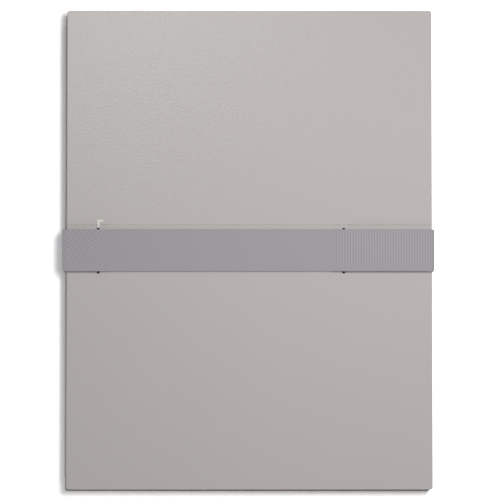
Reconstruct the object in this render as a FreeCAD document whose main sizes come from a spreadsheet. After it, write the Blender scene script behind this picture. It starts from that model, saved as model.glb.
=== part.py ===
import FreeCAD, Part
import os
import re

import Sketcher

# Strap portfolio for loose papers: two covered boards, a pleated cloth spine that lets the case
# grow with its contents, and a webbing strap threaded through slots in both covers.
#
# Frame: +X towards the fore-edge, -X the spine, +Y the head, +Z up, front cover facing up.
# The origin is at the bottom centre of the closed case. Sizes are in millimetres.

SIZES = [
    ("cover_width", 244.0, "one cover, from its spine edge to its fore-edge"),
    ("cover_length", 320.0, "one cover, from foot to head"),
    ("board_thickness", 2.0, "greyboard inside each cover"),
    ("paper_thickness", 0.3, "covering paper, its turn-ins and the lining paper"),
    ("corner_radius", 1.6, "corner of a covered board, seen from above"),
    ("turn_in_width", 16.0, "covering paper folded onto a board's inner face"),
    ("lining_clearance", 0.2, "gap between the turn-ins and the lining"),
    ("cover_offset_x", 1.4, "how far the front cover lies towards the fore-edge of the back cover"),
    ("cover_offset_y", 1.6, "how far the front cover lies towards the head of the back cover"),
    ("strap_width", 28.0, "webbing width"),
    ("strap_thickness", 1.2, "webbing thickness"),
    ("edge_clearance", 0.3, "gap between a cover's edge and the strap that goes round it"),
    ("slot_length", 33.0, "strap slot, along the cover's length"),
    ("slot_width", 2.4, "strap slot, across"),
    ("slot_rise", 0.3, "slot centre above the cover's centre, towards the head"),
    ("spine_slot_inset", 21.0, "spine edge to the centre of the slot beside it"),
    ("fore_slot_inset", 59.0, "fore-edge to the centre of the slot beside it"),
    ("document_space", 4.4, "closed gap between the strap's two inner runs"),
    ("pleat_depth", 18.0, "gusset pleat, from its outer crease to its inner crease"),
    ("cloth_thickness", 0.4, "gusset cloth"),
    ("gusset_margin", 8.0, "gusset end to the nearest cover end"),
    ("gusset_inset", 0.9, "strap's inner face to the gusset's outer creases"),
    ("crease_radius", 0.4, "round crease that the front cover turns on"),
    ("crease_inset", 0.1, "strap's inner face to the round crease"),
    ("leaf_gap", 0.2, "gap between the top panel and the hinge cloth"),
    ("patch_thickness", 0.3, "hook or loop pile on the webbing"),
    ("patch_width", 24.0, "hook or loop patch, across the strap"),
    ("patch_margin", 2.0, "patch end to the slot or the cover's edge"),
    ("patch_gap", 0.2, "gap between the hook and the loop pile"),
    ("bead_clearance", 0.3, "gap between the strap's round bend and its top run"),
]
PLEAT_PANELS = 7

# Places along X. A strap face or a cover edge is measured from the middle of the case.
STRAP_INNER_FACE = "(cover_width / 2 + cover_offset_x / 2 + edge_clearance)"
STRAP_OUTER_FACE = f"({STRAP_INNER_FACE} + strap_thickness)"
BACK_SPINE_EDGE = "(-cover_width / 2 - cover_offset_x / 2)"
FRONT_SPINE_EDGE = "(-cover_width / 2 + cover_offset_x / 2)"
GUSSET_SPINE_EDGE = f"(gusset_inset - {STRAP_INNER_FACE})"
CREASE_AXIS_X = f"(crease_inset + crease_radius - {STRAP_INNER_FACE})"
BEAD_RADIUS = "(strap_thickness / 2)"
BEAD_AXIS_X = f"({STRAP_INNER_FACE} + {BEAD_RADIUS})"
SPINE_PATCH_LENGTH = "(spine_slot_inset - 2 * patch_margin)"
FORE_PATCH_LENGTH = "(fore_slot_inset - 2 * patch_margin)"

# Places along Y.
BACK_FOOT = "(-cover_length / 2 - cover_offset_y / 2)"
FRONT_FOOT = "(-cover_length / 2 + cover_offset_y / 2)"
GUSSET_LENGTH = "(cover_length - cover_offset_y - 2 * gusset_margin)"

# Levels along Z, from the strap that the case rests on to the strap's top run.
COVER_THICKNESS = "(board_thickness + 2 * paper_thickness)"
BACK_OUTSIDE = "strap_thickness"
BACK_INSIDE = f"({BACK_OUTSIDE} + {COVER_THICKNESS})"
FRONT_INNER_RUN = f"({BACK_INSIDE} + strap_thickness + document_space)"
FRONT_INSIDE = f"({FRONT_INNER_RUN} + strap_thickness)"
FRONT_OUTSIDE = f"({FRONT_INSIDE} + {COVER_THICKNESS})"
LOOP_LEVEL = f"({FRONT_OUTSIDE} + strap_thickness)"
HOOK_LEVEL = f"({LOOP_LEVEL} + patch_thickness + patch_gap)"
TOP_RUN_LEVEL = f"({HOOK_LEVEL} + patch_thickness)"
HINGE_CLOTH_LEVEL = f"({FRONT_INSIDE} - cloth_thickness)"
TOP_PANEL_LEVEL = f"({HINGE_CLOTH_LEVEL} - leaf_gap - cloth_thickness)"
PLEATS_FOOT = f"({BACK_INSIDE} + cloth_thickness)"
PLEAT_PITCH = f"(({TOP_PANEL_LEVEL} - {PLEATS_FOOT}) / {PLEAT_PANELS})"

doc = FreeCAD.newDocument("strap_portfolio")
sheet = doc.addObject("Spreadsheet::Sheet", "Sizes")
for row, (alias, number, meaning) in enumerate(SIZES, start=1):
    sheet.set(f"A{row}", meaning)
    sheet.set(f"B{row}", str(number))
    sheet.setAlias(f"B{row}", alias)
doc.recompute()

nodes = []


def bind(item, prop, formula):
    """Tie a property to a formula in the sheet's sizes, each written by its alias."""
    item.setExpression(prop, re.sub(r"[a-z]+(?:_[a-z]+)+", lambda word: f"Sizes.{word.group(0)}", formula))


def place(item, x, y, z):
    """Tie a piece's position to three formulas."""
    bind(item, ".Placement.Base.x", x)
    bind(item, ".Placement.Base.y", y)
    bind(item, ".Placement.Base.z", z)


def publish(item, node):
    """Give a finished sub-part its node name and list it for export."""
    item.Label = node
    nodes.append(item)
    return item


def block(name, x, y, z, length, width, height):
    """Make a box with its low corner at x, y, z."""
    box = doc.addObject("Part::Box", name)
    place(box, x, y, z)
    bind(box, "Length", length)
    bind(box, "Width", width)
    bind(box, "Height", height)
    return box


def rod(name, x, y, z, radius, length):
    """Make a cylinder that runs along +Y from x, y, z."""
    cylinder = doc.addObject("Part::Cylinder", name)
    cylinder.Placement = FreeCAD.Placement(
        FreeCAD.Vector(), FreeCAD.Rotation(FreeCAD.Vector(1, 0, 0), -90)
    )
    place(cylinder, x, y, z)
    bind(cylinder, "Radius", radius)
    bind(cylinder, "Height", length)
    return cylinder


def fuse(name, pieces):
    """Join touching pieces into one solid, without the seams between them."""
    joined = doc.addObject("Part::MultiFuse", name)
    joined.Shapes = pieces
    joined.Refine = True
    return joined


def draw_rectangle(sketch, left, foot, width, length):
    """Draw a rectangle in a sketch, its low corner at left, foot (None: at the sketch's origin)."""
    first = sketch.GeometryCount
    corners = [FreeCAD.Vector(*xy, 0) for xy in ((1, 1), (2, 1), (2, 2), (1, 2))]
    for start in range(4):
        sketch.addGeometry(Part.LineSegment(corners[start], corners[(start + 1) % 4]), False)
    for start in range(4):
        following = first + (start + 1) % 4
        sketch.addConstraint(Sketcher.Constraint("Coincident", first + start, 2, following, 1))
    sketch.addConstraint(Sketcher.Constraint("Horizontal", first))
    sketch.addConstraint(Sketcher.Constraint("Vertical", first + 1))
    sketch.addConstraint(Sketcher.Constraint("Horizontal", first + 2))
    sketch.addConstraint(Sketcher.Constraint("Vertical", first + 3))
    driven = [("DistanceX", (first, 1, first, 2), width), ("DistanceY", (first + 1, 1, first + 1, 2), length)]
    if left is None:
        sketch.addConstraint(Sketcher.Constraint("Coincident", first, 1, -1, 1))
    else:
        driven.append(("DistanceX", (-1, 1, first, 1), left))
        driven.append(("DistanceY", (-1, 1, first, 1), foot))
    for kind, points, formula in driven:
        index = sketch.addConstraint(Sketcher.Constraint(kind, *points, 1.0))
        bind(sketch, f"Constraints[{index}]", formula)


def slot_places(inset):
    """Return the low corners of a cover's two slots, measured from its outline drawn in by inset."""
    foot = f"cover_length / 2 + slot_rise - slot_length / 2 - {inset}"
    spine = f"spine_slot_inset - slot_width / 2 - {inset}"
    fore = f"cover_width - fore_slot_inset - slot_width / 2 - {inset}"
    return [(spine, foot), (fore, foot)]


def flat_body(name, x, y, z, width, length, thickness, slots=(), radius=None):
    """Pad a rectangle, with slots through it and its upright corners rounded if a radius is given."""
    body = doc.addObject("PartDesign::Body", name)
    plane = next(item for item in body.Origin.OriginFeatures if item.Role == "XY_Plane")
    sketch = body.newObject("Sketcher::SketchObject", f"{name}_outline")
    sketch.AttachmentSupport = [(plane, "")]
    sketch.MapMode = "FlatFace"
    draw_rectangle(sketch, None, None, width, length)
    for left, foot in slots:
        draw_rectangle(sketch, left, foot, "slot_width", "slot_length")
    pad = body.newObject("PartDesign::Pad", f"{name}_pad")
    pad.Profile = sketch
    bind(pad, "Length", thickness)
    doc.recompute()
    if radius is not None:
        body_box = pad.Shape.BoundBox
        corners = []
        for number, edge in enumerate(pad.Shape.Edges, start=1):
            middle = edge.CenterOfMass
            at_side = min(abs(middle.x - body_box.XMin), abs(middle.x - body_box.XMax)) < 1e-6
            at_end = min(abs(middle.y - body_box.YMin), abs(middle.y - body_box.YMax)) < 1e-6
            if at_side and at_end:
                corners.append(f"Edge{number}")
        rounding = body.newObject("PartDesign::Fillet", f"{name}_corners")
        rounding.Base = (pad, corners)
        bind(rounding, "Radius", radius)
    place(body, x, y, z)
    return body


def make_cover(side, spine_edge, foot, board_level, turn_in_level, outer_level):
    """Make one cover: its board, the paper wrapped round the board, and the lining inside."""
    board = flat_body(
        f"{side}_board",
        f"{spine_edge} + paper_thickness", f"{foot} + paper_thickness", board_level,
        "cover_width - 2 * paper_thickness", "cover_length - 2 * paper_thickness", "board_thickness",
        slot_places("paper_thickness"), "corner_radius - paper_thickness",
    )
    publish(board, f"{side}_board")

    low_level = turn_in_level if side == "front" else outer_level
    blank = flat_body(
        f"{side}_paper_blank", spine_edge, foot, low_level,
        "cover_width", "cover_length", COVER_THICKNESS, (), "corner_radius",
    )
    window = block(
        f"{side}_paper_window",
        f"{spine_edge} + turn_in_width", f"{foot} + turn_in_width", turn_in_level,
        "cover_width - 2 * turn_in_width", "cover_length - 2 * turn_in_width", "paper_thickness",
    )
    punches = []
    for number, (left, low) in enumerate(slot_places("0"), start=1):
        punches.append(block(
            f"{side}_paper_slot_{number}", f"{spine_edge} + {left}", f"{foot} + {low}", low_level,
            "slot_width", "slot_length", COVER_THICKNESS,
        ))
    paper = doc.addObject("Part::Cut", f"{side}_cover_paper")
    paper.Base = blank
    paper.Tool = fuse(f"{side}_paper_hollow", [board, window, *punches])
    publish(paper, f"{side}_cover_paper")

    lining_inset = "(turn_in_width + lining_clearance)"
    lining = flat_body(
        f"{side}_lining", f"{spine_edge} + {lining_inset}", f"{foot} + {lining_inset}", turn_in_level,
        f"cover_width - 2 * {lining_inset}", f"cover_length - 2 * {lining_inset}", "paper_thickness",
        slot_places(lining_inset),
    )
    publish(lining, f"{side}_lining")


def make_strap_run(side, spine_edge, start, end, outer_level, inner_level):
    """Thread the webbing through a cover: outside, in at one slot, inside, out at the other, outside."""
    spine_slot = f"({spine_edge} + spine_slot_inset)"
    fore_slot = f"({spine_edge} + cover_width - fore_slot_inset)"
    half = "strap_thickness / 2"
    low_level, high_level = (inner_level, outer_level) if side == "front" else (outer_level, inner_level)
    stretches = [
        ("outer_spine", start, f"{spine_slot} + {half}", outer_level, "strap_thickness"),
        ("inner", f"{spine_slot} - {half}", f"{fore_slot} + {half}", inner_level, "strap_thickness"),
        ("outer_fore", f"{fore_slot} - {half}", end, outer_level, "strap_thickness"),
    ]
    for name, slot in (("spine_passage", spine_slot), ("fore_passage", fore_slot)):
        stretches.append(
            (name, f"{slot} - {half}", f"{slot} + {half}", low_level,
             f"{high_level} - {low_level} + strap_thickness")
        )
    pieces = []
    for name, left, right, level, height in stretches:
        pieces.append(block(
            f"{side}_run_{name}", left, "-strap_width / 2", level,
            f"{right} - ({left})", "strap_width", height,
        ))
    publish(fuse(f"strap_{side}_run", pieces), f"strap_{side}_run")


def make_gusset():
    """Make the cloth spine: a glued leaf, flat pleats folded back and forth, and the top panel."""
    foot = f"-{GUSSET_LENGTH} / 2"
    leaf = block(
        "bottom_leaf", GUSSET_SPINE_EDGE, foot, BACK_INSIDE,
        "pleat_depth", GUSSET_LENGTH, "cloth_thickness",
    )
    publish(leaf, "gusset_bottom_leaf")

    folds = []
    for panel in range(PLEAT_PANELS):
        middle = f"{PLEATS_FOOT} + {panel + 0.5} * {PLEAT_PITCH}"
        folds.append(block(
            f"pleat_panel_{panel + 1}", GUSSET_SPINE_EDGE, foot, f"{middle} - cloth_thickness / 2",
            "pleat_depth", GUSSET_LENGTH, "cloth_thickness",
        ))
    for crease in range(PLEAT_PANELS + 1):
        is_outer = crease % 2 == 0
        left = GUSSET_SPINE_EDGE if is_outer else f"{GUSSET_SPINE_EDGE} + pleat_depth - cloth_thickness"
        low = max(crease - 0.5, 0)
        high = min(crease + 0.5, PLEAT_PANELS)
        folds.append(block(
            f"pleat_crease_{crease + 1}", left, foot, f"{PLEATS_FOOT} + {low} * {PLEAT_PITCH}",
            "cloth_thickness", GUSSET_LENGTH, f"{high - low} * {PLEAT_PITCH}",
        ))
    publish(fuse("pleats", folds), "gusset_pleats")

    panel = block(
        "top_panel_flat", CREASE_AXIS_X, foot, TOP_PANEL_LEVEL,
        f"{GUSSET_SPINE_EDGE} + pleat_depth - {CREASE_AXIS_X}", GUSSET_LENGTH, "cloth_thickness",
    )
    crease_level = f"{TOP_PANEL_LEVEL} + cloth_thickness / 2"
    crease = rod("top_panel_crease", CREASE_AXIS_X, foot, crease_level, "crease_radius", GUSSET_LENGTH)
    publish(fuse("top_panel", [panel, crease]), "gusset_top_panel")

    hinge_cloth = block(
        "hinge_cloth", GUSSET_SPINE_EDGE, foot, HINGE_CLOTH_LEVEL,
        "pleat_depth", GUSSET_LENGTH, "cloth_thickness",
    )
    publish(hinge_cloth, "front_hinge_cloth")


def make_strap_links():
    """Make the flexible stretches of webbing that go round the spine and round the fore-edge."""
    side = "-strap_width / 2"
    spine_rise = block(
        "spine_link_rise", f"-{STRAP_OUTER_FACE}", side, "strap_thickness",
        "strap_thickness", "strap_width", f"{FRONT_OUTSIDE}",
    )
    spine_arm = block(
        "spine_link_arm", f"-{STRAP_OUTER_FACE}", side, FRONT_OUTSIDE,
        f"{FRONT_SPINE_EDGE} - edge_clearance + {STRAP_OUTER_FACE}", "strap_width", "strap_thickness",
    )
    publish(fuse("spine_link", [spine_rise, spine_arm]), "strap_spine_link")

    fore_link = block(
        "fore_link", STRAP_INNER_FACE, side, "strap_thickness",
        "strap_thickness", "strap_width", f"{LOOP_LEVEL} - strap_thickness",
    )
    publish(fore_link, "strap_fore_link")

    bead_level = f"({TOP_RUN_LEVEL} + {BEAD_RADIUS})"
    stub = block(
        "fore_corner_stub", STRAP_INNER_FACE, side, LOOP_LEVEL,
        "strap_thickness", "strap_width", f"{bead_level} - {LOOP_LEVEL}",
    )
    bead = rod("fore_corner_bead", BEAD_AXIS_X, side, bead_level, BEAD_RADIUS, "strap_width")
    publish(fuse("fore_corner", [stub, bead]), "strap_fore_corner")


def make_strap_tail():
    """Make the strap's top run, and the hook and loop patches that hold it down at both ends."""
    tail_end = f"({BEAD_AXIS_X} - {BEAD_RADIUS} - bead_clearance)"
    tail = flat_body(
        "tail", f"-{STRAP_OUTER_FACE}", "-strap_width / 2", TOP_RUN_LEVEL,
        f"{STRAP_OUTER_FACE} + {tail_end}", "strap_width", "strap_thickness",
    )
    publish(tail, "strap_over")

    spine_start = f"{FRONT_SPINE_EDGE} + patch_margin"
    fore_start = f"{FRONT_SPINE_EDGE} + cover_width - fore_slot_inset + patch_margin"
    ends = [("spine", spine_start, SPINE_PATCH_LENGTH), ("fore", fore_start, FORE_PATCH_LENGTH)]
    for end, start, length in ends:
        for pile, level in (("loop", LOOP_LEVEL), ("hook", HOOK_LEVEL)):
            patch = flat_body(
                f"{pile}_{end}", start, "-patch_width / 2", level, length, "patch_width", "patch_thickness",
            )
            publish(patch, f"{pile}_patch_{end}")


make_cover(
    "back", BACK_SPINE_EDGE, BACK_FOOT,
    board_level=f"{BACK_OUTSIDE} + paper_thickness",
    turn_in_level=f"{BACK_INSIDE} - paper_thickness",
    outer_level=BACK_OUTSIDE,
)
make_cover(
    "front", FRONT_SPINE_EDGE, FRONT_FOOT,
    board_level=f"{FRONT_INSIDE} + paper_thickness",
    turn_in_level=FRONT_INSIDE,
    outer_level=FRONT_OUTSIDE,
)
make_strap_run("back", BACK_SPINE_EDGE, f"-{STRAP_OUTER_FACE}", STRAP_OUTER_FACE, "0", BACK_INSIDE)
make_strap_run(
    "front", FRONT_SPINE_EDGE, FRONT_SPINE_EDGE, f"{FRONT_SPINE_EDGE} + cover_width",
    FRONT_OUTSIDE, FRONT_INNER_RUN,
)
make_gusset()
make_strap_links()
make_strap_tail()
doc.recompute()

for item in doc.Objects:
    if "Invalid" in item.State or "Error" in item.State:
        raise RuntimeError(f"{item.Name} failed to build: {item.State}")
for item in nodes:
    if item.Shape.isNull() or not item.Shape.isValid():
        raise RuntimeError(f"{item.Label} has no valid shape")

os.makedirs("parts", exist_ok=True)
for item in nodes:
    item.Shape.exportStep(f"parts/{item.Label}.step")
    box = item.Shape.BoundBox
    print(
        f"{item.Label:20s} solids {len(item.Shape.Solids)} volume {item.Shape.Volume:10.1f} "
        f"x {box.XMin:8.2f} {box.XMax:8.2f} y {box.YMin:8.2f} {box.YMax:8.2f} z {box.ZMin:6.2f} {box.ZMax:6.2f}"
    )
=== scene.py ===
"""Strap portfolio: embossed coated-paper covers, a pleated cloth spine and a webbing strap.

The CAD frame gives every place. This script dresses it: the covering paper with its rounded
edges, turn-ins and strap slots, the folded cloth gusset, and the ribbed webbing of the strap.
"""
import logging
import math
from collections.abc import Callable
from dataclasses import dataclass, field
from enum import Enum

import bpy
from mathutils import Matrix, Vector


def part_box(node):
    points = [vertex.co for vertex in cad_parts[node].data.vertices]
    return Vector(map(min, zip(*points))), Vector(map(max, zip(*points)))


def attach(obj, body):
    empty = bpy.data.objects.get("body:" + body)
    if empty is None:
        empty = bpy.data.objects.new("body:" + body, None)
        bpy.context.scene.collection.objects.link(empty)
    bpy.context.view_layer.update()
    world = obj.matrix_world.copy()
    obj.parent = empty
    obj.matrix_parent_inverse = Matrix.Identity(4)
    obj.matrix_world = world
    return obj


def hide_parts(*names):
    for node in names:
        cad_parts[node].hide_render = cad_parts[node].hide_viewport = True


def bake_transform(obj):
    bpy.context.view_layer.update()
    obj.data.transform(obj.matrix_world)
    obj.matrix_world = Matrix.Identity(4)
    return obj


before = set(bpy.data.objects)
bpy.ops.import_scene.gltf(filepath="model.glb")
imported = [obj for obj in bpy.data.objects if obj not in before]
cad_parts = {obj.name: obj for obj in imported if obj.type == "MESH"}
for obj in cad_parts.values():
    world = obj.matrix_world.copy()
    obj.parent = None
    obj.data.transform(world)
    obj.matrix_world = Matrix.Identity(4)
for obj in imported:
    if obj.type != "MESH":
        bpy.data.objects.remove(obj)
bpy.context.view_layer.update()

LOG = logging.getLogger("strap_portfolio")
MM = 0.001
TOUCH = 0.001 * MM  # nearer than this, two places count as one

Tree = bpy.types.NodeTree
Socket = bpy.types.NodeSocket
Test = Callable[[Vector, Vector | None], bool]


# ---------------------------------------------------------------- small tools


def linear(code: str) -> tuple[float, float, float, float]:
    """Turn an sRGB hex colour into linear values.

    Args:
        code: the colour as "#rrggbb".

    Returns:
        Linear red, green, blue and an alpha of 1.
    """
    channels = [int(code[i:i + 2], 16) / 255 for i in (1, 3, 5)]
    straight = [c / 12.92 if c <= 0.04045 else ((c + 0.055) / 1.055) ** 2.4 for c in channels]
    return (straight[0], straight[1], straight[2], 1.0)


def deselect() -> None:
    """Leave object mode with nothing selected."""
    if bpy.context.object and bpy.context.object.mode != "OBJECT":
        bpy.ops.object.mode_set(mode="OBJECT")
    bpy.ops.object.select_all(action="DESELECT")


def activate(piece: bpy.types.Object) -> None:
    """Select one object alone and make it active."""
    deselect()
    piece.select_set(True)
    bpy.context.view_layer.objects.active = piece


def add_block(name: str, low: Vector, high: Vector) -> bpy.types.Object:
    """Add a cube primitive between two corners, with its place in its mesh.

    Args:
        name: name of the new object.
        low: lowest corner, in metres.
        high: highest corner, in metres.

    Returns:
        The new object.
    """
    deselect()
    bpy.ops.mesh.primitive_cube_add(size=1, location=(low + high) / 2)
    piece = bpy.context.object
    piece.name = name
    piece.data.name = name
    piece.scale = high - low
    bpy.ops.object.transform_apply(location=True, rotation=True, scale=True)
    return piece


def select_parts(piece: bpy.types.Object, kind: str, test: Test) -> None:
    """Enter edit mode with only those faces, edges or vertices selected that pass a test.

    Args:
        piece: the mesh object.
        kind: "FACE", "EDGE" or "VERT".
        test: called with (centre, direction), the direction being a face's normal, an edge's
            unit vector or None.
    """
    activate(piece)
    bpy.context.tool_settings.mesh_select_mode = (kind == "VERT", kind == "EDGE", kind == "FACE")
    mesh = piece.data
    for collection in (mesh.vertices, mesh.edges, mesh.polygons):
        collection.foreach_set("select", [False] * len(collection))
    if kind == "FACE":
        for face in mesh.polygons:
            face.select = bool(test(face.center, face.normal))
    elif kind == "EDGE":
        for edge in mesh.edges:
            start, end = (mesh.vertices[i].co for i in edge.vertices)
            edge.select = bool(test((start + end) / 2, (end - start).normalized()))
    else:
        for vertex in mesh.vertices:
            vertex.select = bool(test(vertex.co, None))
    bpy.ops.object.mode_set(mode="EDIT")


def cut_through(piece: bpy.types.Object, place: tuple, normal: tuple) -> None:
    """Cut every face of a piece along a plane, which adds edges and keeps the shape."""
    activate(piece)
    bpy.ops.object.mode_set(mode="EDIT")
    bpy.ops.mesh.select_all(action="SELECT")
    bpy.ops.mesh.bisect(plane_co=place, plane_no=normal)
    bpy.ops.object.mode_set(mode="OBJECT")


def apply_modifiers(piece: bpy.types.Object) -> None:
    """Apply every modifier of a piece in order."""
    activate(piece)
    for modifier in list(piece.modifiers):
        bpy.ops.object.modifier_apply(modifier=modifier.name)


def close_mesh(piece: bpy.types.Object) -> None:
    """Merge doubles and turn all faces outwards."""
    activate(piece)
    bpy.ops.object.mode_set(mode="EDIT")
    bpy.ops.mesh.select_all(action="SELECT")
    bpy.ops.mesh.remove_doubles(threshold=TOUCH)
    bpy.ops.mesh.normals_make_consistent(inside=False)
    bpy.ops.object.mode_set(mode="OBJECT")


def smooth(piece: bpy.types.Object, degrees: float) -> None:
    """Shade smooth, with edges sharper than an angle kept sharp."""
    activate(piece)
    bpy.ops.object.shade_smooth_by_angle(angle=math.radians(degrees))


def flatten_shading(piece: bpy.types.Object) -> None:
    """Let the big flat faces keep their own normals beside the small rounded ones."""
    weight = piece.modifiers.new("flat", "WEIGHTED_NORMAL")
    weight.keep_sharp = True
    apply_modifiers(piece)


def paint(piece: bpy.types.Object, material: bpy.types.Material) -> None:
    """Give a piece one material."""
    piece.data.materials.clear()
    piece.data.materials.append(material)


# ---------------------------------------------------------------- finishes


def feed(tree: Tree, node: bpy.types.Node, inputs: dict) -> None:
    """Set a node's inputs, by name or number, to values or to links from output sockets."""
    for name, value in inputs.items():
        if isinstance(value, bpy.types.NodeSocket):
            tree.links.new(value, node.inputs[name])
        else:
            node.inputs[name].default_value = value


def add_node(
    tree: Tree, kind: str, inputs: dict | None = None, **settings: object
) -> bpy.types.Node:
    """Add a shader node with its settings, values and links.

    Args:
        tree: the material's node tree.
        kind: the node's type name.
        inputs: socket name or number to a value, or to an output socket to link from.
        **settings: attributes of the node itself.

    Returns:
        The new node.
    """
    node = tree.nodes.new(kind)
    for name, value in settings.items():
        setattr(node, name, value)
    feed(tree, node, inputs or {})
    return node


def new_material(name: str) -> tuple[bpy.types.Material, Tree, bpy.types.Node]:
    """Make a node material with a bare Principled shader on its output."""
    material = bpy.data.materials.new(name)
    material.use_nodes = True
    tree = material.node_tree
    tree.nodes.clear()
    shader = add_node(tree, "ShaderNodeBsdfPrincipled")
    add_node(tree, "ShaderNodeOutputMaterial", {"Surface": shader.outputs["BSDF"]})
    return material, tree, shader


def own_place(tree: Tree) -> Socket:
    """Return the place in the piece's own coordinates, in metres."""
    return add_node(tree, "ShaderNodeTexCoord").outputs["Object"]


def reckon(tree: Tree, operation: str, *values: object, **settings: object) -> Socket:
    """Do one sum with numbers or sockets and return its socket."""
    inputs = dict(enumerate(values))
    node = add_node(tree, "ShaderNodeMath", inputs, operation=operation, **settings)
    return node.outputs[0]


def blend_colours(tree: Tree, factor: Socket, low: str, high: str) -> Socket:
    """Mix two sRGB hex colours by a factor and return the colour socket."""
    inputs = {0: factor, 6: linear(low), 7: linear(high)}
    return add_node(tree, "ShaderNodeMix", inputs, data_type="RGBA").outputs[2]


def scaled(tree: Tree, socket: Socket, low: float, high: float) -> Socket:
    """Map a 0 to 1 value to low to high and return its socket."""
    inputs = {"Value": socket, "To Min": low, "To Max": high}
    return add_node(tree, "ShaderNodeMapRange", inputs).outputs["Result"]


def noise(tree: Tree, place: Socket, size_mm: float, detail: float, roughness: float) -> Socket:
    """Return fractal noise of a grain size in millimetres, from 0 to 1."""
    inputs = {"Vector": place, "Scale": 1000 / size_mm, "Detail": detail, "Roughness": roughness}
    return add_node(tree, "ShaderNodeTexNoise", inputs).outputs["Fac"]


def wave(tree: Tree, place: Socket, pitch_mm: float) -> Socket:
    """Return a sine of the place with a pitch in millimetres, from -1 to 1."""
    turns = reckon(tree, "MULTIPLY", place, math.tau / (pitch_mm * MM))
    return reckon(tree, "SINE", turns)


def weigh(
    tree: Tree, value: Socket, place: Socket,
    span_mm: tuple[float, float], weights: tuple[float, float],
) -> Socket:
    """Multiply a value by a weight that eases from one to another over a span of places."""
    inputs = {
        "Value": place, "From Min": span_mm[0] * MM, "From Max": span_mm[1] * MM,
        "To Min": weights[0], "To Max": weights[1],
    }
    weight = add_node(tree, "ShaderNodeMapRange", inputs, interpolation_type="SMOOTHSTEP")
    return reckon(tree, "MULTIPLY", value, weight.outputs["Result"])


def raised(
    tree: Tree, height: Socket, strength: float, depth_mm: float,
    under: Socket | None = None, invert: bool = False,
) -> Socket:
    """Return the normal of a surface raised by a height, on top of another normal if given."""
    inputs = {"Height": height, "Strength": strength, "Distance": depth_mm * MM}
    if under is not None:
        inputs["Normal"] = under
    return add_node(tree, "ShaderNodeBump", inputs, invert=invert).outputs["Normal"]


@dataclass(frozen=True)
class EmbossedCoverPaper:
    """PVC-coated covering paper, calendered with a fine leather grain: semi-gloss pebbles."""

    tint: str = "#bdb8b5"
    shade: str = "#bab5b2"
    pebble_mm: float = 1.25
    crease_mm: float = 0.55
    cloud_mm: float = 1000 / 9
    height_mm: float = 0.05
    roughness: tuple[float, float] = (0.29, 0.265)

    def make(self) -> bpy.types.Material:
        """Build the material."""
        material, tree, shader = new_material("pvc_coated_paper_leather_embossed")
        place = own_place(tree)
        # Leather grain: rounded pebbles, with finer creases between them.
        pebbles = add_node(
            tree, "ShaderNodeTexVoronoi",
            {"Vector": place, "Scale": 1000 / self.pebble_mm, "Smoothness": 0.6},
            feature="SMOOTH_F1",
        )
        creases = noise(tree, place, self.crease_mm, 3.0, 0.55)
        grain = reckon(tree, "ADD", pebbles.outputs["Distance"], creases)
        # The coating is never quite even: broad, faint clouds of colour and of gloss.
        clouds = noise(tree, place, self.cloud_mm, 3.0, 0.5)
        feed(tree, shader, {
            "Base Color": blend_colours(tree, clouds, self.shade, self.tint),
            "Roughness": scaled(tree, clouds, *self.roughness),
            "Normal": raised(tree, grain, 1.0, self.height_mm),
            "IOR": 1.5,
        })
        return material


class WeaveAxis(Enum):
    """Which way a stretch of webbing runs, and so where its pattern is read from."""

    SURFACE = "surface"
    UPRIGHT = "upright"


@dataclass(frozen=True)
class WovenWebbing:
    """Grey nylon webbing, woven on a narrow loom: cross ribs of weft under a flat warp face.

    A span says between which places, in millimetres, a weight goes from its first value to
    its second.
    """

    axis: WeaveAxis
    yarn: str = "#bbb8bd"
    gap: str = "#827f85"
    rib_mm: float = 1.78
    warp_mm: float = 1.34
    fuzz_mm: float = 1000 / 2600
    rib_span_mm: tuple[float, float] = (62, 82)
    rib_weights: tuple[float, float] = (0.36, 0.08)
    spot_span_mm: tuple[float, float] = (195, 215)
    spot_weights: tuple[float, float] = (0.15, 1.6)
    weave_middle_mm: float = 1.5
    selvedge_span_mm: tuple[float, float] = (10.4, 11.4)
    weave_height_mm: float = 0.05
    fuzz_height_mm: float = 0.04

    def make(self) -> bpy.types.Material:
        """Build the material."""
        material, tree, shader = new_material(f"nylon_webbing_woven_{self.axis.value}")
        if self.axis is WeaveAxis.SURFACE:
            place = add_node(tree, "ShaderNodeUVMap", uv_map="weave").outputs["UV"]
            run = "X"
        else:
            place = own_place(tree)
            run = "Z"
        split = add_node(tree, "ShaderNodeSeparateXYZ", {"Vector": place})
        along, across = split.outputs[run], split.outputs["Y"]
        rib = wave(tree, along, self.rib_mm)
        pair = wave(tree, along, 2 * self.rib_mm)
        warp = wave(tree, across, self.warp_mm)
        # Plain weave: each warp yarn goes over one rib and under the next, so the raised spots
        # are staggered. Near the fore-edge the ribs alone show, further on the spots: painted shade
        # that stands for light falling on the two ends of the strap at different angles.
        checks = reckon(tree, "MULTIPLY", pair, warp)
        ribs = weigh(tree, rib, along, self.rib_span_mm, self.rib_weights)
        spots = weigh(tree, checks, along, self.spot_span_mm, self.spot_weights)
        weave = reckon(tree, "ADD", ribs, spots)
        # The selvedges at both sides are plain.
        aside = reckon(tree, "ABSOLUTE", reckon(tree, "ADD", across, -self.weave_middle_mm * MM))
        weave = weigh(tree, weave, aside, self.selvedge_span_mm, (1.0, 0.0))
        face = reckon(tree, "MULTIPLY_ADD", weave, 0.5, 0.5, use_clamp=True)
        woven = raised(tree, face, 1.0, self.weave_height_mm)
        fuzz = noise(tree, place, self.fuzz_mm, 2.0, 0.6)
        feed(tree, shader, {
            # Painted shade: the weave is drawn in colour, darker in the hollows between the raised
            # yarns.
            "Base Color": blend_colours(tree, face, self.gap, self.yarn),
            "Roughness": 0.72,
            "Sheen Weight": 0.15,
            "Sheen Roughness": 0.4,
            "Normal": raised(tree, fuzz, 0.5, self.fuzz_height_mm, under=woven),
        })
        return material


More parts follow.
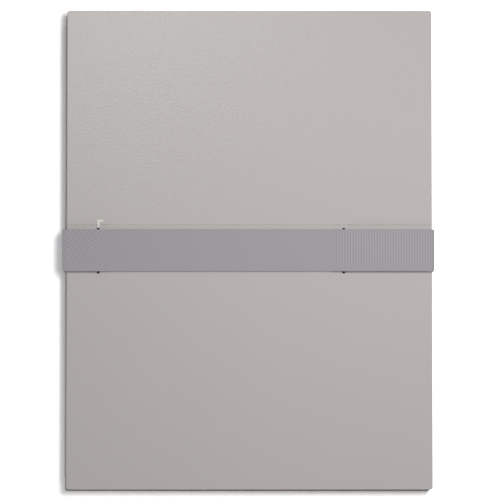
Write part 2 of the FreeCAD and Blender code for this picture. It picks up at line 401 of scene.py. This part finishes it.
@dataclass(frozen=True)
class BookCloth:
    """Starched cotton book cloth, plain woven: matt, with a fine square thread grid."""

    thread_mm: float = 0.7
    slub_mm: float = 1000 / 350
    height_mm: float = 0.08
    high: str = "#cfcdcb"
    low: str = "#b9b7b5"

    def make(self) -> bpy.types.Material:
        """Build the material. The threads are drawn coarser than real ones, so that they show."""
        material, tree, shader = new_material("cotton_book_cloth_plain_woven")
        place = own_place(tree)
        split = add_node(tree, "ShaderNodeSeparateXYZ", {"Vector": place})
        weft = wave(tree, split.outputs["X"], self.thread_mm)
        warp = wave(tree, split.outputs["Y"], self.thread_mm)
        face = reckon(tree, "MULTIPLY_ADD", reckon(tree, "MULTIPLY", weft, warp), 0.5, 0.5)
        mixed = reckon(tree, "ADD", face, noise(tree, place, self.slub_mm, 4.0, 0.6))
        shown = scaled(tree, mixed, 0.0, 0.6)
        feed(tree, shader, {
            "Base Color": blend_colours(tree, shown, self.low, self.high),
            "Roughness": 0.9,
            "Normal": raised(tree, mixed, 0.8, self.height_mm),
        })
        return material


@dataclass(frozen=True)
class FibreSheet:
    """Pressed paper or board: matt, with the cloudy formation and flecks of its fibres."""

    name: str
    pale: str
    dark: str
    fibre_mm: float
    roughness: float
    height_mm: float

    def make(self) -> bpy.types.Material:
        """Build the material. The fibres lie along Y, the way the sheet ran in its machine."""
        material, tree, shader = new_material(self.name)
        grain = {"Vector": own_place(tree), "Scale": (1.0, 0.35, 1.0)}
        place = add_node(tree, "ShaderNodeMapping", grain).outputs["Vector"]
        fibres = noise(tree, place, self.fibre_mm, 5.0, 0.62)
        feed(tree, shader, {
            "Base Color": blend_colours(tree, fibres, self.dark, self.pale),
            "Roughness": self.roughness,
            "Normal": raised(tree, fibres, 0.7, self.height_mm),
        })
        return material


@dataclass(frozen=True)
class PileTape:
    """Hook-and-loop tape: brushed loops, or the ground between moulded hooks."""

    name: str
    pale: str
    dark: str
    pile_mm: float
    roughness: float
    height_mm: float = 0.25

    def make(self) -> bpy.types.Material:
        """Build the material."""
        material, tree, shader = new_material(self.name)
        cells = {"Vector": own_place(tree), "Scale": 1000 / self.pile_mm}
        tufts = add_node(tree, "ShaderNodeTexVoronoi", cells, feature="F1").outputs["Distance"]
        feed(tree, shader, {
            "Base Color": blend_colours(tree, tufts, self.pale, self.dark),
            "Roughness": self.roughness,
            "Normal": raised(tree, tufts, 1.0, self.height_mm, invert=True),
        })
        return material


@dataclass(frozen=True)
class FinishSet:
    """Every material of the portfolio, made once."""

    cover: bpy.types.Material
    webbing: bpy.types.Material
    webbing_upright: bpy.types.Material
    cloth: bpy.types.Material
    board: bpy.types.Material
    lining: bpy.types.Material
    paper_back_and_highlight: bpy.types.Material
    loops: bpy.types.Material
    hooks: bpy.types.Material


def make_finishes() -> FinishSet:
    """Build all the materials."""
    return FinishSet(
        cover=EmbossedCoverPaper().make(),
        webbing=WovenWebbing(WeaveAxis.SURFACE).make(),
        webbing_upright=WovenWebbing(WeaveAxis.UPRIGHT).make(),
        cloth=BookCloth().make(),
        board=FibreSheet(
            "greyboard_pressed_from_waste_paper", "#7d7a75", "#57544f", 0.9, 0.95, 0.08
        ).make(),
        lining=FibreSheet(
            "lining_paper_uncoated_offset", "#a9a9a8", "#9c9c9b", 0.7, 0.85, 0.02
        ).make(),
        # The pale paper back is also a painted highlight on the raised lip at the spine slot.
        paper_back_and_highlight=FibreSheet("coated_paper_raw_back_and_painted_highlight", "#e9e7e3", "#dedbd6", 0.4, 0.8, 0.02).make(),
        loops=PileTape("nylon_loop_pile_brushed", "#9b9ba0", "#6d6d72", 0.55, 0.95).make(),
        hooks=PileTape("nylon_hook_tape_moulded", "#86868b", "#5f5f64", 0.9, 0.55).make(),
    )


# ---------------------------------------------------------------- covers


class Side(Enum):
    """Which cover a piece belongs to, and which way that cover's outer face looks."""

    BACK = -1
    FRONT = 1

    @property
    def word(self) -> str:
        """The side's name as the CAD nodes spell it."""
        return self.name.lower()


@dataclass
class Cover:
    """One covered board: the wrapped paper with its strap slots and channels, and what it hides."""

    side: Side
    finishes: FinishSet
    paper_thickness: float = 0.26 * MM
    corner_radius: float = 1.6 * MM
    edge_radius: float = 0.35 * MM
    turn_in: float = 16 * MM
    channel_depth: float = 0.24 * MM
    channel_slope: float = 0.3 * MM
    channel_half_width: float = 15.9 * MM
    channel_rise: float = 0.3 * MM
    slot_half_length: float = 15.5 * MM
    slot_half_width: float = 0.85 * MM
    spine_slot_inset: float = 21 * MM
    fore_slot_inset: float = 59 * MM
    slot_rise: float = -0.7 * MM
    fore_slot_trim: float = 0.5 * MM
    low: Vector = field(init=False)
    high: Vector = field(init=False)

    def __post_init__(self) -> None:
        """Read the cover's place from the frame."""
        self.low, self.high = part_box(f"{self.side.word}_cover_paper")

    @property
    def body(self) -> str:
        """The CAD body that the cover belongs to."""
        return f"{self.side.word}_cover"

    @property
    def outer_level(self) -> float:
        """Height of the cover's outer face."""
        return self.high.z if self.side is Side.FRONT else self.low.z

    @property
    def slot_places(self) -> tuple[float, float]:
        """X of the slot near the spine and of the slot near the fore-edge."""
        return self.low.x + self.spine_slot_inset, self.high.x - self.fore_slot_inset

    @property
    def slot_middle(self) -> float:
        """Y of the middle of both slots."""
        return (self.low.y + self.high.y) / 2 + self.slot_rise

    def build(self) -> None:
        """Build the paper skin and dress the board and the lining."""
        skin = self.wrap()
        self.press_channels(skin)
        self.open_inside(skin)
        self.punch_slots(skin)
        smooth(skin, 35)
        flatten_shading(skin)
        paint(skin, self.finishes.cover)
        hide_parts(f"{self.side.word}_cover_paper")
        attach(skin, self.body)
        if self.side is Side.FRONT:
            self.lift_slot_lip()
        paint(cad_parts[f"{self.side.word}_board"], self.finishes.board)
        paint(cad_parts[f"{self.side.word}_lining"], self.finishes.lining)

    def wrap(self) -> bpy.types.Object:
        """Make the closed outside of the covered board, with rounded corners and edges."""
        skin = add_block(f"{self.side.word}_cover_skin", self.low, self.high)
        select_parts(skin, "EDGE", lambda centre, way: abs(way.z) > 0.9)
        bpy.ops.mesh.bevel(offset=self.corner_radius, segments=6, affect="EDGES")
        bpy.ops.object.mode_set(mode="OBJECT")
        levels = (self.low.z, self.high.z)

        def on_rim(centre: Vector, way: Vector) -> bool:
            """Tell the edges round the outer and the inner face."""
            return abs(way.z) < 0.1 and min(abs(centre.z - level) for level in levels) < TOUCH

        select_parts(skin, "EDGE", on_rim)
        bpy.ops.mesh.bevel(offset=self.edge_radius, segments=4, affect="EDGES")
        bpy.ops.object.mode_set(mode="OBJECT")
        return skin

    def press_channels(self, skin: bpy.types.Object) -> None:
        """Press the shallow channels that the strap lies in, from each slot to the nearest edge."""
        up = self.side.value
        middle = (self.low.y + self.high.y) / 2 + self.channel_rise
        half = self.channel_half_width
        spine_slot, fore_slot = self.slot_places
        for side in (-1, 1):
            for reach in (half, half + self.channel_slope):
                cut_through(skin, (0, middle + side * reach, 0), (0, 1, 0))
        for slot in (spine_slot, fore_slot):
            cut_through(skin, (slot, 0, 0), (1, 0, 0))
        floor = self.outer_level - up * self.channel_depth

        def in_channel(place: Vector, way: None) -> bool:
            """Tell the places of the outer face that go down to the channels' floor."""
            beyond = place.x < spine_slot + TOUCH or place.x > fore_slot - TOUCH
            return beyond and (place.z - floor) * up > 0 and abs(place.y - middle) < half + TOUCH

        select_parts(skin, "VERT", in_channel)
        bpy.ops.transform.resize(value=(1, 1, 0), center_override=(0, 0, floor))
        bpy.ops.object.mode_set(mode="OBJECT")

    def open_inside(self, skin: bpy.types.Object) -> None:
        """Cut the window between the turn-ins and give the paper its thickness."""
        up = self.side.value
        low = self.low + Vector((self.turn_in, self.turn_in, 0))
        high = self.high - Vector((self.turn_in, self.turn_in, 0))

        def on_inside(centre: Vector, way: Vector) -> bool:
            """Tell the faces that look at the other cover."""
            return way.z * up < -0.99

        def in_window(centre: Vector, way: Vector) -> bool:
            """Tell the inner faces between the turn-ins."""
            between = low.x < centre.x < high.x and low.y < centre.y < high.y
            return between and on_inside(centre, way)

        for place in (low, high):
            for normal in ((1, 0, 0), (0, 1, 0)):
                select_parts(skin, "FACE", on_inside)
                bpy.ops.mesh.bisect(plane_co=place, plane_no=normal)
                bpy.ops.object.mode_set(mode="OBJECT")
        select_parts(skin, "FACE", in_window)
        bpy.ops.mesh.delete(type="FACE")
        bpy.ops.object.mode_set(mode="OBJECT")
        wall = skin.modifiers.new("paper", "SOLIDIFY")
        wall.thickness = self.paper_thickness
        wall.offset = -1
        apply_modifiers(skin)

    def punch_slots(self, skin: bpy.types.Object) -> None:
        """Punch the strap's slots, with rounded ends, through the outer sheet."""
        depth = Vector((0, 0, 1 * MM))
        foot = self.slot_middle - self.slot_half_length
        trims = (0.0, self.fore_slot_trim)
        for number, (x, trim) in enumerate(zip(self.slot_places, trims), start=1):
            head = self.slot_middle + self.slot_half_length - trim
            low = Vector((x - self.slot_half_width, foot, self.outer_level))
            high = Vector((x + self.slot_half_width, head, self.outer_level))
            punch = add_block(f"punch_{number}", low - depth, high + depth)
            select_parts(punch, "EDGE", lambda centre, way: abs(way.z) > 0.9)
            bpy.ops.mesh.bevel(offset=self.slot_half_width * 0.6, segments=4, affect="EDGES")
            bpy.ops.object.mode_set(mode="OBJECT")
            cut = skin.modifiers.new("slot", "BOOLEAN")
            cut.object = punch
            cut.operation = "DIFFERENCE"
            cut.solver = "EXACT"
            apply_modifiers(skin)
            bpy.data.objects.remove(punch)

    def lift_slot_lip(self) -> None:
        """Curl up the covering paper at the head end of the spine slot, where the punch tore it."""
        slot = self.slot_places[0]
        end = self.slot_middle + self.slot_half_length
        foot, middle, fold, head = (end + step * MM for step in (-0.5, 1.5, 3.7, 5))
        low = Vector((slot - 0.75 * MM, foot, self.outer_level - 0.1 * MM))
        high = Vector((slot + 0.85 * MM, head, self.outer_level + 0.2 * MM))
        lip = add_block("front_cover_slot_lip", low, high)
        for y in (fold, middle):
            cut_through(lip, (0, y, 0), (0, 1, 0))
        select_parts(lip, "FACE", lambda centre, way: way.x > 0.9 and centre.y > fold)
        # The torn end reaches towards the fore-edge in two steps, thinner and narrower each.
        step = (1.3 * MM, 0, -0.03 * MM)
        for _ in range(2):
            bpy.ops.mesh.extrude_region_move(TRANSFORM_OT_translate={"value": step})
            bpy.ops.transform.resize(value=(1, 0.85, 0.8))
        bpy.ops.object.mode_set(mode="OBJECT")
        round_off = lip.modifiers.new("curl", "BEVEL")
        round_off.width = 0.09 * MM
        round_off.segments = 3
        round_off.limit_method = "ANGLE"
        apply_modifiers(lip)
        close_mesh(lip)
        smooth(lip, 50)
        # Painted highlight: the lip is painted with the pale back of the paper, which stands for
        # the light caught on its raised edge as well as for the paper itself.
        paint(lip, self.finishes.paper_back_and_highlight)
        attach(lip, self.body)


# ---------------------------------------------------------------- strap


@dataclass(frozen=True)
class Bend:
    """One corner of a strap's route, seen from the foot: its place and its radius."""

    x: float
    z: float
    radius: float = 0.0


@dataclass(frozen=True)
class Stretch:
    """A straight or an evenly curved length of a route."""

    start: Vector
    heading: Vector
    length: float
    curvature: float = 0.0

    def at(self, distance: float) -> tuple[Vector, Vector]:
        """Return the place and the heading at a distance along the stretch."""
        if self.curvature == 0:
            return self.start + self.heading * distance, self.heading
        turned = turn(self.heading, distance * self.curvature)
        quarter = -math.pi / 2
        chord = (turn(turned, quarter) - turn(self.heading, quarter)) / self.curvature
        return self.start + chord, turned


def turn(way: Vector, angle: float) -> Vector:
    """Turn a direction in the XZ plane, from +X towards +Z."""
    cosine, sine = math.cos(angle), math.sin(angle)
    return Vector((way.x * cosine - way.z * sine, 0, way.x * sine + way.z * cosine))


def make_route(bends: list[Bend]) -> list[Stretch]:
    """Join the corners of a route with straight runs and tangent arcs."""
    places = [Vector((bend.x, 0, bend.z)) for bend in bends]
    stretches: list[Stretch] = []
    here = places[0]
    for number in range(1, len(places)):
        way = (places[number] - places[number - 1]).normalized()
        if number == len(places) - 1:
            stretches.append(Stretch(here, way, (places[number] - here).length))
            break
        ahead = (places[number + 1] - places[number]).normalized()
        angle = math.atan2(way.x * ahead.z - way.z * ahead.x, way.dot(ahead))
        radius = bends[number].radius
        reach = radius * math.tan(abs(angle) / 2)
        stretches.append(Stretch(here, way, (places[number] - here).length - reach))
        here = places[number] - way * reach
        if reach > 0:
            arc = Stretch(here, way, radius * abs(angle), math.copysign(1 / radius, angle))
            stretches.append(arc)
            here = arc.at(arc.length)[0]
    return stretches


def follow(route: list[Stretch], distance: float) -> tuple[Vector, Vector]:
    """Return the place and the heading at a distance along a whole route."""
    for stretch in route[:-1]:
        if distance <= stretch.length:
            return stretch.at(distance)
        distance -= stretch.length
    return route[-1].at(distance)


@dataclass
class Webbing:
    """A stretch of ribbed webbing that follows a route in the XZ plane."""

    name: str
    bends: list[Bend]
    width: float = 28 * MM
    thickness: float = 1.02 * MM
    rib_pitch: float = 1.78 * MM
    rib_height: float = 0.09 * MM
    rib_slope: float = 0.5 * MM
    selvedge_foot: float = 4.4 * MM
    selvedge_head: float = 1.4 * MM
    edge_radius: float = 0.42 * MM
    ribbed: bool = True
    weave_start: float = 0.0

    def build(self) -> bpy.types.Object:
        """Model one rib, repeat it along the strap, mark the weave, and lay it along the route."""
        route = make_route(self.bends)
        length = sum(stretch.length for stretch in route)
        ribs = max(2, round(length / self.rib_pitch))
        piece = self.model_rib(length / ribs)
        row = piece.modifiers.new("ribs", "ARRAY")
        row.count = ribs
        row.use_merge_vertices = True
        row.merge_threshold = TOUCH
        apply_modifiers(piece)
        self.close_ends(piece, length)
        self.mark_weave(piece)
        self.lay(piece, route)
        close_mesh(piece)
        smooth(piece, 60)
        return piece

    def model_rib(self, pitch: float) -> bpy.types.Object:
        """Model one pitch of the strap: a flat bar with round selvedges, raised at its middle."""
        half_width, half = self.width / 2, self.thickness / 2
        corner = Vector((pitch, half_width, half))
        piece = add_block(self.name, Vector((0, -half_width, -half)), corner)
        select_parts(piece, "EDGE", lambda centre, way: abs(way.x) > 0.9)
        bpy.ops.mesh.bevel(offset=self.edge_radius, segments=3, affect="EDGES")
        bpy.ops.object.mode_set(mode="OBJECT")
        select_parts(piece, "FACE", lambda centre, way: abs(way.x) > 0.9)
        bpy.ops.mesh.delete(type="FACE")
        bpy.ops.object.mode_set(mode="OBJECT")
        foot, head = self.selvedge_foot - half_width, half_width - self.selvedge_head
        cut_through(piece, (pitch / 2, 0, 0), (1, 0, 0))
        for y in (foot - self.rib_slope, foot, 0, head, head + self.rib_slope):
            cut_through(piece, (0, y, 0), (0, 1, 0))

        def on_crown(place: Vector, way: None) -> bool:
            """Tell the places at the rib's middle, between the selvedges."""
            return abs(place.x - pitch / 2) < TOUCH and foot - TOUCH < place.y < head + TOUCH

        if self.ribbed:
            select_parts(piece, "VERT", on_crown)
            swell = 1 + 2 * self.rib_height / self.thickness
            bpy.ops.transform.resize(value=(1, 1, swell), center_override=(pitch / 2, 0, 0))
            bpy.ops.object.mode_set(mode="OBJECT")
        return piece

    @staticmethod
    def close_ends(piece: bpy.types.Object, length: float) -> None:
        """Close both cut ends with a face."""
        for end in (0.0, length):
            select_parts(piece, "EDGE", lambda centre, way, end=end: abs(centre.x - end) < TOUCH)
            bpy.ops.mesh.edge_face_add()
            bpy.ops.object.mode_set(mode="OBJECT")

    def mark_weave(self, piece: bpy.types.Object) -> None:
        """Write the flat strap's own coordinates, in metres, to a UV map for the weave."""
        mesh = piece.data
        weave = mesh.uv_layers.new(name="weave")
        for loop in mesh.loops:
            place = mesh.vertices[loop.vertex_index].co
            weave.data[loop.index].uv = (self.weave_start + place.x, place.y)

    @staticmethod
    def lay(piece: bpy.types.Object, route: list[Stretch]) -> None:
        """Bend the flat strap along the route."""
        for vertex in piece.data.vertices:
            distance, across, up = vertex.co
            place, way = follow(route, distance)
            vertex.co = place + turn(way, math.pi / 2) * up + Vector((0, across, 0))


@dataclass
class Strap:
    """The whole strap: threaded runs, the links round both edges, and the top run."""

    finishes: FinishSet
    front: Cover
    back: Cover
    solid_thickness: float = 1.2 * MM
    slot_bend: float = 0.75 * MM
    corner_bend: float = 1.1 * MM
    spine_bend: float = 2.0 * MM
    slack_bend: float = 20 * MM
    tail_bend: float = 6 * MM
    link_thickness: float = 0.85 * MM
    link_press: float = 0.34 * MM
    rest_height: float = 0.72 * MM
    rest_inset: float = 9 * MM
    run_weave_start: float = 215 * MM

    def build(self) -> None:
        """Build every stretch; the threaded runs go on the covers that carry them."""
        self.thread_run(self.front)
        self.thread_run(self.back)
        self.link_spine()
        self.link_fore_edge()
        self.lay_top_run()

    def finish(self, piece: bpy.types.Object, *nodes: str, upright: bool = False) -> None:
        """Dress a stretch and hide the CAD nodes that it stands for."""
        paint(piece, self.finishes.webbing_upright if upright else self.finishes.webbing)
        if nodes:
            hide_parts(*nodes)

    def thread_run(self, cover: Cover) -> None:
        """Lay the run that is threaded through a cover's two slots."""
        low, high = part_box(f"strap_{cover.side.word}_run")
        outer, inner = (high.z, low.z) if cover.side is Side.FRONT else (low.z, high.z)
        inwards = cover.side.value * self.solid_thickness / 2
        outer_middle = outer - inwards
        inner_middle = inner + inwards
        spine_slot, fore_slot = cover.slot_places
        bend = self.slot_bend
        route = [
            Bend(low.x, outer_middle),
            Bend(spine_slot, outer_middle, bend),
            Bend(spine_slot, inner_middle, bend),
            Bend(fore_slot, inner_middle, bend),
            Bend(fore_slot, outer_middle, bend),
            Bend(high.x, outer_middle),
        ]
        name = f"webbing_{cover.side.word}_run"
        piece = Webbing(name, route, weave_start=self.run_weave_start).build()
        self.finish(piece, f"strap_{cover.side.word}_run")
        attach(piece, cover.body)

    def link_spine(self) -> None:
        """Lay the webbing round the spine edge, in a lower and an upper stretch.

        Pressed thin between the crease and the front cover's edge, it leaves room for the
        cover to lie right back.
        """
        low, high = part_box("strap_spine_link")
        middle = low.x + self.solid_thickness / 2
        pressed = middle + self.link_press
        thickness = self.link_thickness
        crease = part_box("gusset_top_panel")
        hinge = (crease[0].z + crease[1].z) / 2
        rise = [
            Bend(middle, low.z), Bend(middle, low.z + 0.8 * MM),
            Bend(pressed, low.z + 3.2 * MM), Bend(pressed, hinge),
        ]
        lower = Webbing("webbing_spine_rise", rise, thickness=thickness, ribbed=False).build()
        self.finish(lower, "strap_spine_link", upright=True)
        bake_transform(lower)
        top = high.z - self.solid_thickness / 2
        over = [
            Bend(pressed, hinge), Bend(pressed, hinge + 0.5 * MM), Bend(middle, hinge + 1.9 * MM),
            Bend(middle, top, self.spine_bend), Bend(high.x, top),
        ]
        upper = Webbing(
            "webbing_spine_turn", over, thickness=thickness, weave_start=self.run_weave_start
        ).build()
        self.finish(upper)
        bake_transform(upper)

    def link_fore_edge(self) -> None:
        """Lay the webbing that rises at the fore-edge."""
        low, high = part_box("strap_fore_link")
        middle = (low.x + high.x) / 2
        route = [Bend(middle, z) for z in (low.z, (low.z + high.z) / 2, high.z)]
        link = Webbing("webbing_fore_rise", route, ribbed=False).build()
        self.finish(link, "strap_fore_link", upright=True)
        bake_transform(link)

    def lay_top_run(self) -> None:
        """Lay the top run: up the fore-edge, round the corner, and across the front cover."""
        low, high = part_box("strap_over")
        corner_low, corner_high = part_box("strap_fore_corner")
        middle = (corner_low.x + corner_high.x) / 2
        top = (low.z + high.z) / 2
        rest = self.front.outer_level + self.rest_height
        spine_slot, fore_slot = self.front.slot_places
        slack = self.slack_bend
        # It lies on the cover between the slots, and on the threaded run beyond them.
        route = [
            Bend(middle, corner_low.z),
            Bend(middle, top, self.corner_bend),
            Bend(fore_slot + 1 * MM, top, slack),
            Bend(fore_slot - self.rest_inset, rest, slack),
            Bend(spine_slot + self.rest_inset, rest, slack),
            Bend(spine_slot - 1 * MM, top, slack),
            Bend(low.x + 3 * MM, top, self.tail_bend),
            Bend(low.x, top - 0.5 * MM),
        ]
        piece = Webbing("webbing_top_run", route).build()
        self.finish(piece, "strap_over", "strap_fore_corner")
        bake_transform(piece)


# ---------------------------------------------------------------- cloth gusset


@dataclass
class Gusset:
    """The pleated cloth spine: glued leaf, pleats that open evenly, and the cloth hinge."""

    finishes: FinishSet
    panels: int = 8
    thickness: float = 0.3 * MM
    crease_inset: float = 0.3 * MM
    hinge_inset: float = 0.5 * MM
    glue_gap: float = 0.02 * MM
    lengthwise_parts: int = 6

    def build(self) -> None:
        """Build the pleated cloth and the hinge cloth."""
        self.fold_pleats()
        self.hang_hinge_cloth()

    @staticmethod
    def unease(share: float) -> float:
        """Return where a smoothstep between 0 and 1 reaches a share."""
        return 0.5 - math.sin(math.asin(1 - 2 * share) / 3)

    def fold_pleats(self) -> None:
        """Fold one length of cloth: a leaf on the back cover, then panels up to the top crease."""
        leaf_low, leaf_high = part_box("gusset_bottom_leaf")
        top_low, top_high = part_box("gusset_top_panel")
        foot, head = leaf_low.y, leaf_high.y
        outer, inner = leaf_low.x + self.crease_inset, leaf_high.x
        start = leaf_low.z + self.thickness / 2
        crease_level = (top_low.z + top_high.z) / 2
        rise = crease_level - start
        corners = [Vector((inner, 0, start))]
        for crease in range(self.panels + 1):
            x = outer if crease % 2 == 0 else inner - self.crease_inset
            corners.append(Vector((x, 0, start + rise * self.unease(crease / self.panels))))
        corners[-1].x = top_low.x + self.hinge_inset
        cloth = self.sweep("gusset_cloth_pleats", corners, foot, head)
        paint(cloth, self.finishes.cloth)
        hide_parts("gusset_bottom_leaf", "gusset_pleats", "gusset_top_panel")
        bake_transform(cloth)

    def hang_hinge_cloth(self) -> None:
        """Join the top crease to the front cover's lining with a strip of cloth."""
        low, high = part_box("front_hinge_cloth")
        top_low, top_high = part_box("gusset_top_panel")
        crease = Vector((top_low.x + self.hinge_inset, 0, (top_low.z + top_high.z) / 2))
        level = high.z - self.thickness / 2 - self.glue_gap
        corners = [
            crease,
            Vector((top_low.x + 0.25 * MM, 0, crease.z + 0.25 * MM)),
            Vector((low.x + 0.5 * MM, 0, level)),
            Vector((high.x, 0, level)),
        ]
        cloth = self.sweep("front_hinge_strip", corners, low.y, high.y)
        paint(cloth, self.finishes.cloth)
        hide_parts("front_hinge_cloth")
        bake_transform(cloth)

    @staticmethod
    def unfolded(corners: list[Vector]) -> float:
        """Return the length of the cloth along its folds."""
        return sum((there - here).length for here, there in zip(corners, corners[1:]))

    def sweep(self, name: str, corners: list[Vector], foot: float, head: float) -> bpy.types.Object:
        """Extrude a folded cloth profile from one edge and give it thickness.

        Args:
            name: name of the piece.
            corners: the profile's corners in the XZ plane, in order.
            foot: Y of the cloth's foot end.
            head: Y of its head end.

        Returns:
            The cloth, with soft creases.
        """
        deselect()
        bpy.ops.mesh.primitive_plane_add(size=1)
        piece = bpy.context.object
        piece.name = name
        piece.data.name = name
        places = [(corner.x, y, corner.z) for y in (foot, head) for corner in corners[:2]]
        for vertex, place in zip(piece.data.vertices, places):
            vertex.co = place
        for here, there in zip(corners[1:], corners[2:]):
            edge = Vector((here.x, (foot + head) / 2, here.z))
            select_parts(
                piece, "EDGE", lambda centre, way, edge=edge: (centre - edge).length < TOUCH
            )
            bpy.ops.mesh.extrude_region_move(TRANSFORM_OT_translate={"value": there - here})
            bpy.ops.object.mode_set(mode="OBJECT")
        for part in range(1, self.lengthwise_parts):
            y = foot + (head - foot) * part / self.lengthwise_parts
            cut_through(piece, (0, y, 0), (0, 1, 0))
        wall = piece.modifiers.new("cloth", "SOLIDIFY")
        wall.thickness = self.thickness
        wall.offset = 0
        apply_modifiers(piece)
        close_mesh(piece)
        smooth(piece, 80)
        return piece


# ---------------------------------------------------------------- fastening tape


def dress_patches(finishes: FinishSet) -> None:
    """Dress the loop patches on the strap's outer runs and the hook patches under its top run."""
    for end in ("spine", "fore"):
        paint(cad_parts[f"loop_patch_{end}"], finishes.loops)
        paint(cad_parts[f"hook_patch_{end}"], finishes.hooks)


# ---------------------------------------------------------------- studio


@dataclass(frozen=True)
class Softbox:
    """A rectangular lamp that looks at the object, and which kinds of light it gives."""

    name: str
    place: Vector
    size: tuple[float, float]
    watts: float
    diffuse: bool = True
    glossy: bool = True

    def hang(self, aim: Vector) -> None:
        """Hang the lamp in its place, turned towards the aim."""
        lamp = bpy.data.lights.new(self.name, "AREA")
        lamp.energy = self.watts
        lamp.shape = "RECTANGLE"
        lamp.size, lamp.size_y = self.size
        holder = bpy.data.objects.new(self.name, lamp)
        holder.location = self.place
        holder.rotation_euler = (aim - self.place).to_track_quat("-Z", "Y").to_euler()
        holder.visible_diffuse = self.diffuse
        holder.visible_glossy = self.glossy
        bpy.context.scene.collection.objects.link(holder)


@dataclass(frozen=True)
class Studio:
    """Plain white sweep, three softboxes, an even fill and the camera.

    The key gives the cover its even light and the strap its shadow, the side lamp lights the
    edges, and the gloss lamp gives only the sheen that shows the grain.
    """

    lamps: tuple[Softbox, ...] = (
        Softbox("key_softbox", Vector((0.21, 0.13, 0.72)), (0.34, 0.34), 4.5, glossy=False),
        Softbox("side_softbox", Vector((-0.8, -0.7, 0.4)), (1.0, 0.5), 3.0),
        Softbox("gloss_softbox", Vector((-0.2, 0.45, 1.45)), (0.25, 0.25), 3.3, diffuse=False),
    )
    aim: Vector = Vector((1.1 * MM, 0.3 * MM, 13.2 * MM))
    distance: float = 1.6
    lean_degrees: float = 2.1
    sensor_mm: float = 36
    lens_mm: float = 172.5
    fill: float = 0.15
    floor_size: float = 6
    floor_gap: float = 0.05 * MM

    def build(self) -> None:
        """Build the floor, the lamps, the world and the camera."""
        self.lay_floor()
        for lamp in self.lamps:
            lamp.hang(self.aim)
        self.light_world()
        self.set_camera()

    def lay_floor(self) -> None:
        """Lay the white floor, which keeps the object's soft shadow."""
        deselect()
        bpy.ops.mesh.primitive_plane_add(size=self.floor_size, location=(0, 0, -self.floor_gap))
        floor = bpy.context.object
        floor.name = "studio_floor"
        bpy.ops.object.transform_apply(location=True, rotation=True, scale=True)
        material, tree, shader = new_material("paper_sweep_matt_white")
        feed(tree, shader, {
            "Base Color": linear("#e6e6e6"), "Roughness": 1.0, "Specular IOR Level": 0.0,
        })
        # To the camera and in reflections the sweep gives back about twice the light, so that
        # it is white wherever it is lit and grey only in the object's shadow.
        path = add_node(tree, "ShaderNodeLightPath").outputs
        seen = reckon(tree, "MAXIMUM", path["Is Camera Ray"], path["Is Glossy Ray"])
        more = add_node(tree, "ShaderNodeBsdfDiffuse", {"Color": linear("#fafafa")})
        plain = shader.outputs["BSDF"]
        lit = add_node(tree, "ShaderNodeAddShader", {0: plain, 1: more.outputs["BSDF"]})
        pick = add_node(
            tree, "ShaderNodeMixShader", {0: seen, 1: plain, 2: lit.outputs["Shader"]}
        )
        output = next(node for node in tree.nodes if node.type == "OUTPUT_MATERIAL")
        feed(tree, output, {"Surface": pick.outputs["Shader"]})
        floor.data.materials.append(material)

    def light_world(self) -> None:
        """Fill the room with even light, and show it white to the camera."""
        world = bpy.data.worlds.new("white_room")
        bpy.context.scene.world = world
        world.use_nodes = True
        tree = world.node_tree
        tree.nodes.clear()
        seen = add_node(tree, "ShaderNodeLightPath").outputs["Is Camera Ray"]
        white = (1, 1, 1, 1)
        room, backdrop = (
            add_node(tree, "ShaderNodeBackground", {"Color": white, "Strength": strength})
            for strength in (self.fill, 1.0)
        )
        pick = add_node(
            tree, "ShaderNodeMixShader", {0: seen, 1: room.outputs[0], 2: backdrop.outputs[0]}
        )
        add_node(tree, "ShaderNodeOutputWorld", {"Surface": pick.outputs["Shader"]})

    def set_camera(self) -> None:
        """Set the camera over the object, leaning a little towards its foot."""
        lean = math.radians(self.lean_degrees)
        lens = bpy.data.cameras.new("camera")
        lens.sensor_width = self.sensor_mm
        lens.lens = self.lens_mm
        camera = bpy.data.objects.new("camera", lens)
        camera.location = self.aim + self.distance * Vector((0, -math.sin(lean), math.cos(lean)))
        camera.rotation_euler = (lean, 0, 0)
        bpy.context.scene.collection.objects.link(camera)
        bpy.context.scene.camera = camera


def main() -> None:
    """Build the portfolio and its studio."""
    logging.basicConfig(level=logging.INFO)
    bpy.context.scene.view_settings.view_transform = "Standard"
    Studio().build()
    finishes = make_finishes()
    front, back = Cover(Side.FRONT, finishes), Cover(Side.BACK, finishes)
    for cover in (front, back):
        cover.build()
        LOG.info("%s cover done", cover.side.word)
    Gusset(finishes).build()
    LOG.info("gusset done")
    Strap(finishes, front, back).build()
    LOG.info("strap done")
    dress_patches(finishes)


if __name__ == "__main__":
    main()
